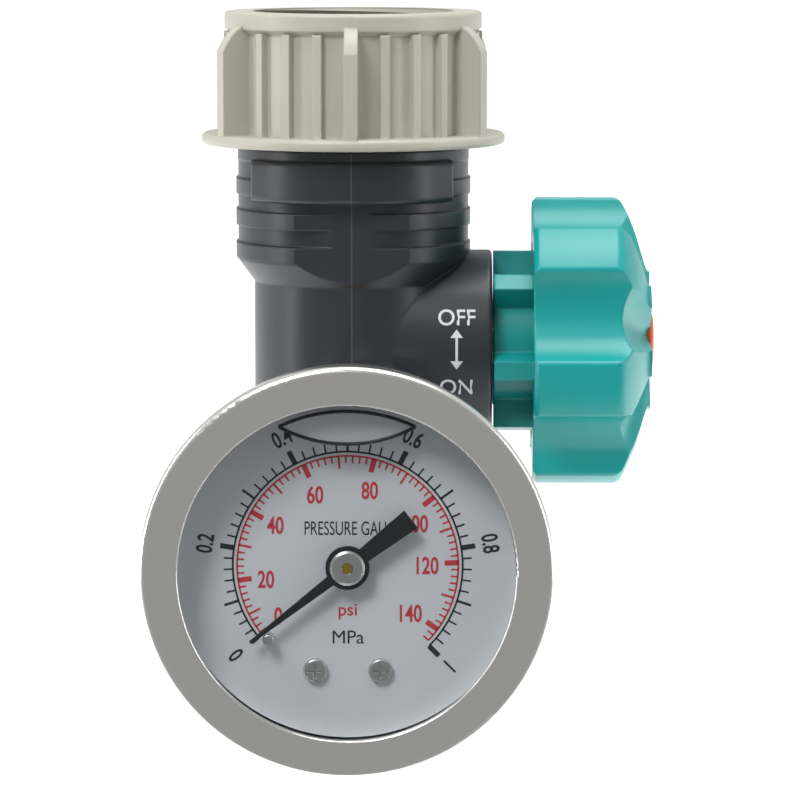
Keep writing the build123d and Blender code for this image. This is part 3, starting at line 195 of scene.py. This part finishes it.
def hose_thread(material, end_z, outer):
    """Adds a hose thread's relief to a moulded surface, only at the thread's own radius. An outer
    thread lies below end_z and an inner one above it."""
    tree = material.node_tree
    shader = tree.nodes["Principled BSDF"]
    place = add_node(tree, "ShaderNodeTexCoord").outputs["Object"]
    parts = add_node(tree, "ShaderNodeSeparateXYZ", {"Vector": place})
    turn = add_node(
        tree, "ShaderNodeMath", {0: parts.outputs["Y"], 1: parts.outputs["X"]}, operation="ARCTAN2",
    )
    rise = add_node(
        tree, "ShaderNodeMath",
        {0: turn.outputs[0], 1: -THREAD_PITCH / (2 * math.pi), 2: parts.outputs["Z"]},
        operation="MULTIPLY_ADD",
    )
    ridge = add_node(
        tree, "ShaderNodeMath", {0: rise.outputs[0], 1: THREAD_PITCH / 2}, operation="PINGPONG",
    )
    where = add_node(
        tree, "ShaderNodeMath", {0: parts.outputs["Z"], 1: end_z},
        operation="LESS_THAN" if outer else "GREATER_THAN",
    )
    flat = add_node(tree, "ShaderNodeCombineXYZ", {"X": parts.outputs["X"], "Y": parts.outputs["Y"]})
    radius = add_node(tree, "ShaderNodeVectorMath", {0: flat.outputs[0]}, operation="LENGTH")
    limit = THREAD_R - (OUTER_THREAD_REACH if outer else INNER_THREAD_REACH)
    reach = add_node(
        tree, "ShaderNodeMath", {0: radius.outputs["Value"], 1: limit},
        operation="GREATER_THAN" if outer else "LESS_THAN",
    )
    mask = add_node(tree, "ShaderNodeMath", {0: where.outputs[0], 1: reach.outputs[0]}, operation="MULTIPLY")
    height = add_node(tree, "ShaderNodeMath", {0: ridge.outputs[0], 1: mask.outputs[0]}, operation="MULTIPLY")
    grain = shader.inputs["Normal"].links[0].from_socket
    relief = add_node(
        tree, "ShaderNodeBump",
        {"Strength": 1.0, "Distance": 1.0, "Height": height.outputs[0], "Normal": grain},
    )
    tree.links.new(relief.outputs["Normal"], shader.inputs["Normal"])


def brushed_stainless(name, colour, axis_z, roughness):
    """Stainless steel turned on a lathe: fine rings about the gauge's axis, which blur its reflections,
    and edges that catch the light. Real rings are nearer 0.05 mm apart and are drawn 0.18 mm apart
    so that they show."""
    material, tree, shader = new_material(name)
    shader.inputs["Metallic"].default_value = 1.0
    shader.inputs["Base Color"].default_value = linear(colour)
    place = add_node(tree, "ShaderNodeTexCoord").outputs["Object"]
    centred = add_node(tree, "ShaderNodeMapping", {"Vector": place, "Location": (0, 0, -axis_z)})
    parts = add_node(tree, "ShaderNodeSeparateXYZ", {"Vector": centred.outputs[0]})
    flat = add_node(tree, "ShaderNodeCombineXYZ", {"X": parts.outputs["X"], "Y": parts.outputs["Z"]})
    radius = add_node(tree, "ShaderNodeVectorMath", {0: flat.outputs[0]}, operation="LENGTH")
    rings = add_node(
        tree, "ShaderNodeCombineXYZ", {"X": radius.outputs["Value"], "Y": parts.outputs["Y"]},
    )
    lines = add_node(
        tree, "ShaderNodeTexNoise", {"Vector": rings.outputs[0], "Scale": 1 / (0.18 * MM), "Detail": 2.0},
    )
    gloss = add_node(
        tree, "ShaderNodeMapRange",
        {"Value": lines.outputs["Fac"], "To Min": roughness - 0.06, "To Max": roughness + 0.08},
    )
    tree.links.new(gloss.outputs["Result"], shader.inputs["Roughness"])
    soft_edge = add_node(tree, "ShaderNodeBevel", {"Radius": 0.15 * MM}, samples=6)
    bump = add_node(
        tree, "ShaderNodeBump",
        {
            "Strength": 0.25, "Distance": 0.01 * MM,
            "Height": lines.outputs["Fac"], "Normal": soft_edge.outputs["Normal"],
        },
    )
    tree.links.new(bump.outputs["Normal"], shader.inputs["Normal"])
    return material


def plain_metal(name, colour, roughness):
    """Machined or stamped metal: a gloss that varies in 0.8 mm patches, as on brass fittings and
    steel screws."""
    material, tree, shader = new_material(name)
    shader.inputs["Metallic"].default_value = 1.0
    shader.inputs["Base Color"].default_value = linear(colour)
    place = add_node(tree, "ShaderNodeTexCoord").outputs["Object"]
    mottle = add_node(tree, "ShaderNodeTexNoise", {"Vector": place, "Scale": 1 / (0.8 * MM), "Detail": 4.0})
    gloss = add_node(
        tree, "ShaderNodeMapRange",
        {"Value": mottle.outputs["Fac"], "To Min": roughness - 0.08, "To Max": roughness + 0.08},
    )
    tree.links.new(gloss.outputs["Result"], shader.inputs["Roughness"])
    soft_edge = add_node(tree, "ShaderNodeBevel", {"Radius": 0.1 * MM}, samples=4)
    tree.links.new(soft_edge.outputs["Normal"], shader.inputs["Normal"])
    return material


def clear_acrylic():
    """The gauge's window: clear cast acrylic, seen mostly by its reflections."""
    material, _, shader = new_material("clear_acrylic")
    shader.inputs["Base Color"].default_value = linear("#2A3234")
    shader.inputs["Roughness"].default_value = 0.03
    shader.inputs["IOR"].default_value = 1.49
    shader.inputs["Alpha"].default_value = 0.06
    material.surface_render_method = "BLENDED"
    return material


def painted_bubble_reflection():
    """The air seen above the filling, as a painted reflection: its surface turns the light back, and this
    pale, milky colour stands in for that reflection.
    """
    material, _, shader = new_material("painted_bubble_reflection")
    # painted reflection: this pale colour stands in for the light the bubble's surface turns back
    shader.inputs["Base Color"].default_value = linear("#CDD1DA")
    shader.inputs["Roughness"].default_value = 0.2
    shader.inputs["Alpha"].default_value = 0.8
    material.surface_render_method = "BLENDED"
    return material


def painted_parting_highlight(material):
    """Adds the mould's parting line down the front of a moulded piece as a painted highlight: a strip a
    little paler than the wall that stands in for the light caught on the line's ridge.
    """
    tree = material.node_tree
    shader = tree.nodes["Principled BSDF"]
    place = add_node(tree, "ShaderNodeTexCoord").outputs["Object"]
    parts = add_node(tree, "ShaderNodeSeparateXYZ", {"Vector": place})
    across = add_node(tree, "ShaderNodeMath", {0: parts.outputs["X"]}, operation="ABSOLUTE")
    line = add_node(
        tree, "ShaderNodeMath", {0: across.outputs[0], 1: PARTING_HIGHLIGHT_WIDTH / 2}, operation="LESS_THAN",
    )
    front = add_node(tree, "ShaderNodeMath", {0: parts.outputs["Y"], 1: 0.0}, operation="LESS_THAN")
    mask = add_node(tree, "ShaderNodeMath", {0: line.outputs[0], 1: front.outputs[0]}, operation="MULTIPLY")
    wall = shader.inputs["Base Color"].links[0].from_socket
    tint = add_node(tree, "ShaderNodeMix", {"Factor": mask.outputs[0]}, data_type="RGBA")
    tree.links.new(wall, tint.inputs[6])
    # painted highlight: this paler colour stands in for the light caught on the parting line's ridge
    tint.inputs[7].default_value = linear("#474D54")
    tree.links.new(tint.outputs[2], shader.inputs["Base Color"])


def printed_ink(name, colour):
    """Screen-printed enamel ink: satin, with a gloss that varies in 0.5 mm specks."""
    material, tree, shader = new_material(name)
    shader.inputs["Base Color"].default_value = linear(colour)
    place = add_node(tree, "ShaderNodeTexCoord").outputs["Object"]
    speckle = add_node(tree, "ShaderNodeTexNoise", {"Vector": place, "Scale": 1 / (0.5 * MM)})
    gloss = add_node(
        tree, "ShaderNodeMapRange", {"Value": speckle.outputs["Fac"], "To Min": 0.4, "To Max": 0.6},
    )
    tree.links.new(gloss.outputs["Result"], shader.inputs["Roughness"])
    return material


def dial_enamel():
    """White baked enamel on aluminium, seen pale blue-grey through the filling."""
    material, tree, shader = new_material("dial_enamel")
    place = add_node(tree, "ShaderNodeTexCoord").outputs["Object"]
    cloud = add_node(tree, "ShaderNodeTexNoise", {"Vector": place, "Scale": 1 / (14 * MM)})
    tint = add_node(tree, "ShaderNodeMix", {"Factor": cloud.outputs["Fac"]}, data_type="RGBA")
    tint.inputs[6].default_value = linear("#E4E9EF")
    tint.inputs[7].default_value = linear("#DDE3E9")
    tree.links.new(tint.outputs[2], shader.inputs["Base Color"])
    shader.inputs["Roughness"].default_value = 0.45
    return material


def rubber(name, colour):
    """Moulded nitrile rubber with a dusty bloom."""
    return moulded_plastic(name, colour, "#26282A", 0.7, grain=0.25, depth=0.01, edge=0.15)


# ---- pieces ----
def finish_piece(name, bm, material, body, smooth=True):
    """Makes an object of the mesh, at the origin, that rides on a body."""
    bmesh.ops.recalc_face_normals(bm, faces=bm.faces)
    mesh = bpy.data.meshes.new(name)
    bm.to_mesh(mesh)
    bm.free()
    for face in mesh.polygons:
        face.use_smooth = smooth
    mesh.materials.append(material)
    piece = bpy.data.objects.new(name, mesh)
    bpy.context.scene.collection.objects.link(piece)
    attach(piece, body)
    return piece


def on_dial(x, z, angle=0.0, lift=PRINT_LIFT):
    """The place of something flat on the dial: millimetres from its centre, turned clockwise."""
    place = Matrix.Translation((x * MM, DIAL_FACE_Y - lift, GAUGE_Z + z * MM))
    return place @ Matrix.Rotation(math.radians(angle), 4, "Y") @ Matrix.Rotation(math.radians(90), 4, "X")


def at_angle(radius, angle):
    """Millimetres across and up from the dial's centre, for a radius and an angle from the top."""
    return radius * math.sin(math.radians(angle)), radius * math.cos(math.radians(angle))


def add_bar(bm, middle_r, angle, length, width):
    """One printed tick, pointing at the dial's centre."""
    x, z = at_angle(middle_r, angle)
    size = Matrix.Diagonal((width * MM, length * MM, 1, 1))
    bmesh.ops.create_grid(bm, x_segments=1, y_segments=1, size=0.5, matrix=on_dial(x, z, angle) @ size)


def add_arc(bm, radius, width, start, sweep):
    """A printed arc about the dial's centre."""
    ends = []
    for r in (radius - width / 2, radius + width / 2):
        x, z = at_angle(r, start)
        ends.append(bm.verts.new((x * MM, DIAL_FACE_Y - PRINT_LIFT, GAUGE_Z + z * MM)))
    edge = bm.edges.new(ends)
    bmesh.ops.spin(
        bm, geom=ends + [edge], cent=(0, 0, GAUGE_Z), axis=(0, 1, 0),
        angle=math.radians(sweep), steps=ARC_STEPS, use_duplicate=False,
    )


def tick_size(mark, ticks):
    """The length and width of a tick: those of the largest step that its mark falls on."""
    return ticks[max(step for step in ticks if mark % step == 0)]


def black_scale(ink):
    """The MPa scale from 0.02 up: an arc with a tick for each 0.02, longer at 0.1 and thick at 0.2."""
    bm = bmesh.new()
    first = 1 / MPA_MARKS
    add_arc(bm, MPA_ARC_R, MPA_ARC_WIDTH, scale_angle(first), SCALE_SWEEP * (1 - first))
    for mark in range(1, MPA_MARKS + 1):
        length, width = tick_size(mark, MPA_TICKS)
        add_bar(bm, MPA_ARC_R + length / 2, scale_angle(mark / MPA_MARKS), length, width)
    finish_piece("dial_scale_mpa", bm, ink, "valve", smooth=False)


def red_scale(ink):
    """The psi scale inside it, from 4 up: a tick for each 2, longer at 10 and thick at 20."""
    bm = bmesh.new()
    sweep = SCALE_SWEEP * (PSI_LAST - PSI_FIRST) / PSI_PER_MPA
    add_arc(bm, PSI_ARC_R, PSI_ARC_WIDTH, scale_angle(PSI_FIRST / PSI_PER_MPA), sweep)
    for psi in range(PSI_FIRST, PSI_LAST + 1, 2):
        length, width = tick_size(psi, PSI_TICKS)
        add_bar(bm, PSI_ARC_R - length / 2, scale_angle(psi / PSI_PER_MPA), length, width)
    finish_piece("dial_scale_psi", bm, ink, "valve", smooth=False)


def add_words(bm, words, cap_height, place, weight=0.0, narrow=1.0):
    """Flat lettering of this capital height in millimetres, centred on its place."""
    font = bpy.data.curves.new("words", "FONT")
    font.body = words
    font.size = cap_height * MM / CAPITAL_SHARE
    font.offset = weight * font.size
    font.align_x = "CENTER"
    font.align_y = "CENTER"
    holder = bpy.data.objects.new("words", font)
    bpy.context.scene.collection.objects.link(holder)
    mesh = bpy.data.meshes.new_from_object(holder.evaluated_get(bpy.context.evaluated_depsgraph_get()))
    bpy.data.objects.remove(holder)
    mesh.transform(place @ Matrix.Diagonal((narrow, 1, 1, 1)))
    bm.from_mesh(mesh)
    bpy.data.meshes.remove(mesh)


def black_numbers(ink):
    """MPa numbers, turned to stand on the scale, and the two lines of plain words."""
    bm = bmesh.new()
    for number in ("0.2", "0.4", "0.6", "0.8", "1", "0"):
        angle = scale_angle(float(number))
        if number == "0":
            angle += ZERO_SHIFT
        x, z = at_angle(MPA_NUMBER_R, angle)
        add_words(bm, number, 1.9, on_dial(x, z, angle), weight=NUMBER_WEIGHT, narrow=NUMBER_NARROW)
    add_words(bm, "PRESSURE GAUGE", 1.65, on_dial(0.6, 4.2), narrow=0.62)
    add_words(bm, "MPa", 1.6, on_dial(0, -8.3))
    finish_piece("dial_numbers_mpa", bm, ink, "valve", smooth=False)


def red_numbers(ink):
    """Upright psi numbers inside the red scale."""
    bm = bmesh.new()
    for number, (x, z) in PSI_PLACES.items():
        add_words(bm, number, 2.0, on_dial(x, z), weight=NUMBER_WEIGHT, narrow=NUMBER_NARROW)
    add_words(bm, "psi", 1.5, on_dial(0, -5.1), weight=0.01)
    finish_piece("dial_numbers_psi", bm, ink, "valve", smooth=False)


def air_bubble(shade_rim_material, reflection_material):
    """The air left above the filling: a lens shape under the window's top, filled with a painted reflection,
    with a dark line round it that is painted shade for the dark rim the bubble's edge shows.
    """
    outline = []
    edges = bmesh.new()
    for rise in BUBBLE_RISES:
        side = math.copysign(1, rise)
        radius = (BUBBLE_HALF_WIDTH**2 + rise**2) / (2 * abs(rise))
        centre = Vector((0, LENS_BACK_Y + BUBBLE_BEHIND_LENS, BUBBLE_ENDS_Z + rise - side * radius))
        half_angle = math.asin(BUBBLE_HALF_WIDTH / radius)
        turns = [
            -half_angle + 2 * half_angle * step / BUBBLE_STEPS for step in range(BUBBLE_STEPS)
        ]
        outline += [
            centre + side * radius * Vector((math.sin(turn), 0, math.cos(turn))) for turn in turns
        ]
        first = Matrix.Rotation(-half_angle, 4, "Y") @ Matrix.Translation((0, 0, side * radius))
        # painted shade: a dark tube standing for the dark rim where the bubble's edge bends the light away
        ring = bmesh.ops.create_circle(
            edges, segments=8, radius=BUBBLE_SHADE_RIM_R,
            matrix=Matrix.Translation(centre) @ first @ Matrix.Rotation(math.radians(90), 4, "Y"),
        )
        rim = list(dict.fromkeys(edge for vert in ring["verts"] for edge in vert.link_edges))
        bmesh.ops.spin(
            edges, geom=ring["verts"] + rim, cent=centre, axis=(0, 1, 0),
            angle=2 * half_angle, steps=2 * BUBBLE_STEPS, use_duplicate=False,
        )
    finish_piece("bubble_painted_shade_rim", edges, shade_rim_material, "valve")
    film = bmesh.new()
    film.faces.new([film.verts.new(point) for point in outline])
    # the pale film over the bubble is a painted reflection of its surface
    finish_piece("bubble_painted_reflection", film, reflection_material, "valve", smooth=False)


def boss_marks(ink):
    """OFF, a double arrow and ON, printed round the front of the side boss."""
    across = BOSS_END_X - BOSS_MARK_INSET
    bm = bmesh.new()
    upright = Matrix.Rotation(math.radians(90), 4, "X")
    for words, rise in BOSS_WORDS.items():
        place = Matrix.Translation((across, 0, KNOB_Z + rise * MM)) @ upright
        add_words(bm, words, BOSS_CAPITALS, place, weight=0.01)
    half_width = Vector((ARROW_HEAD_HALF_WIDTH, 0, 0))
    for side in (1, -1):
        tip = Vector((across, 0, KNOB_Z + side * ARROW_REACH))
        foot = tip - Vector((0, 0, side * ARROW_HEAD_LENGTH))
        corners = (tip, foot + half_width, foot - half_width)
        bm.faces.new([bm.verts.new(corner) for corner in corners])
    shaft = Matrix.Translation((across, 0, KNOB_Z)) @ upright @ Matrix.Diagonal((*ARROW_SHAFT, 1, 1))
    bmesh.ops.create_grid(bm, x_segments=1, y_segments=6, size=0.5, matrix=shaft)
    for vert in bm.verts:
        rise = vert.co.z - KNOB_Z
        vert.co.y = -math.sqrt(BOSS_MARK_R**2 - rise**2) - PRINT_LIFT
    finish_piece("boss_marks", bm, ink, "valve", smooth=False)


def paint(finishes):
    """Gives each carried-over part its finish."""
    for material, names in finishes:
        for name in names:
            slots = nodes[name].data.materials
            slots.clear()
            slots.append(material)


# ---- studio ----
def studio_floor():
    """A plain white floor behind and under the part, ending just in front of it."""
    half_size = 6.0
    front_y = -0.05
    gap = 0.5 * MM
    bm = bmesh.new()
    bmesh.ops.create_grid(bm, x_segments=8, y_segments=8, size=half_size)
    bmesh.ops.translate(bm, verts=bm.verts, vec=(0, half_size + front_y, cad_box[0][2] - gap))
    mesh = bpy.data.meshes.new("studio_floor")
    bm.to_mesh(mesh)
    bm.free()
    material, _, shader = new_material("white_paper")
    shader.inputs["Base Color"].default_value = linear("#FAFAFA")
    shader.inputs["Roughness"].default_value = 0.9
    shader.inputs["Emission Color"].default_value = linear("#FFFFFF")
    shader.inputs["Emission Strength"].default_value = 0.6
    mesh.materials.append(material)
    floor = bpy.data.objects.new("studio_floor", mesh)
    bpy.context.scene.collection.objects.link(floor)


def aim(holder, target):
    """Turns a lamp or camera to face the target."""
    away = holder.location - Vector(target)
    holder.rotation_euler = away.to_track_quat("Z", "Y").to_euler()


def softbox(name, place, target, width, height, power):
    """A white rectangular studio lamp: sizes in metres, power in watts."""
    lamp = bpy.data.lights.new(name, "AREA")
    lamp.shape = "RECTANGLE"
    lamp.size = width
    lamp.size_y = height
    lamp.energy = power
    holder = bpy.data.objects.new(name, lamp)
    holder.location = place
    bpy.context.scene.collection.objects.link(holder)
    aim(holder, target)


def studio():
    """White surroundings that fall off to dark behind the camera, so that the plastic keeps its depth
    and the steel its contrast, with a large key lamp high in front, a top lamp and two side strips."""
    world = bpy.data.worlds.new("studio_white")
    world.use_nodes = True
    tree = world.node_tree
    direction = add_node(tree, "ShaderNodeTexCoord").outputs["Generated"]
    parts = add_node(tree, "ShaderNodeSeparateXYZ", {"Vector": direction})
    fall = add_node(
        tree, "ShaderNodeMapRange",
        {"Value": parts.outputs["Y"], "From Min": -0.9, "From Max": 0.1, "To Min": 0.32, "To Max": 0.62},
        interpolation_type="SMOOTHSTEP",
    )
    background = tree.nodes["Background"]
    background.inputs["Color"].default_value = linear("#FFFFFF")
    tree.links.new(fall.outputs["Result"], background.inputs["Strength"])
    bpy.context.scene.world = world
    bpy.context.scene.view_settings.view_transform = "Standard"
    middle = (0, 0, -0.045)
    softbox("key_lamp", (-0.3, -0.6, 0.55), middle, 0.3, 0.3, 4.0)
    softbox("top_lamp", (0.1, -0.05, 0.6), middle, 0.45, 0.3, 2.2)
    softbox("left_strip", (-0.6, -0.15, 0.1), middle, 0.06, 0.5, 1.0)
    softbox("right_strip", (0.6, -0.2, 0.1), middle, 0.06, 0.5, 0.8)


def camera():
    """A long lens, a little above the part, looking slightly down."""
    lens = bpy.data.cameras.new("camera")
    lens.lens = 206.6
    lens.sensor_width = 36.0
    lens.clip_start = 0.01
    holder = bpy.data.objects.new("camera", lens)
    target = Vector((5.66, 0, -47.35)) * MM
    tilt = math.radians(6.7)
    swing = math.radians(0.4)
    distance = 560 * MM
    level = math.cos(tilt)
    holder.location = target + distance * Vector((
        level * math.sin(swing), -level * math.cos(swing), math.sin(tilt),
    ))
    bpy.context.scene.collection.objects.link(holder)
    aim(holder, target)
    bpy.context.scene.camera = holder


body_nylon = moulded_plastic("body_nylon", "#292D33", "#25292F", 0.36, grain=0.5, depth=0.015)
nut_nylon = moulded_plastic("nut_nylon", "#BDBBAD", "#B7B5A7", 0.38, depth=0.015)
knob_abs = moulded_plastic("knob_abs", "#0AA09E", "#089896", 0.32, depth=0.01, edge=0.4)
cap_abs = moulded_plastic("cap_abs", "#D2602B", "#CB5926", 0.3, depth=0.01)
inner_acetal = moulded_plastic("inner_acetal", "#1D1F21", "#191B1D", 0.4, edge=0.15)
black_rubber = rubber("nitrile_rubber", "#1E2022")
hose_thread(body_nylon, BODY_FOOT_Z + OUTER_THREAD_LENGTH, outer=True)
hose_thread(nut_nylon, NUT_MOUTH_Z - INNER_THREAD_LENGTH, outer=False)
painted_parting_highlight(body_nylon)
turned_steel = brushed_stainless("turned_stainless", "#F0EFEB", GAUGE_Z, 0.22)
screw_steel = plain_metal("screw_steel", "#C9CBCC", 0.3)
brass = plain_metal("machined_brass", "#C9A24E", 0.3)
enamel = dial_enamel()
acrylic = clear_acrylic()
black_ink = printed_ink("black_ink", "#2B3233")
red_ink = printed_ink("red_ink", "#D8414F")
pale_ink = printed_ink("pale_ink", "#D8D6E2")

paint([
    (body_nylon, ["valve_body"]),
    (nut_nylon, ["swivel_nut"]),
    (knob_abs, ["knob"]),
    (cap_abs, ["knob_cap"]),
    (inner_acetal, ["tailpiece", "bonnet", "pointer"]),
    (black_rubber, [
        "tailpiece_o_ring", "inlet_washer", "bonnet_o_ring", "spindle_o_rings", "seat_washer",
        "stem_washer", "fill_plug", "lens_gasket",
    ]),
    (turned_steel, ["bezel", "gauge_case"]),
    (screw_steel, [
        "inlet_screen", "bonnet_clip", "washer_screw", "knob_screw", "case_screws", "dial_screws",
        "pointer_hub", "stop_pin",
    ]),
    (brass, [
        "spindle", "plunger", "gauge_stem", "movement_rear_plate", "movement_front_plate",
        "movement_pillars", "bourdon_tube", "pinion_shaft", "sector_gear", "link",
    ]),
    (enamel, ["dial_plate"]),
    (acrylic, ["lens"]),
])
black_scale(black_ink)
red_scale(red_ink)
black_numbers(black_ink)
red_numbers(red_ink)
# the black acetal tube round the bubble is painted shade, its film a painted reflection
air_bubble(inner_acetal, painted_bubble_reflection())
boss_marks(pale_ink)
studio_floor()
studio()
camera()
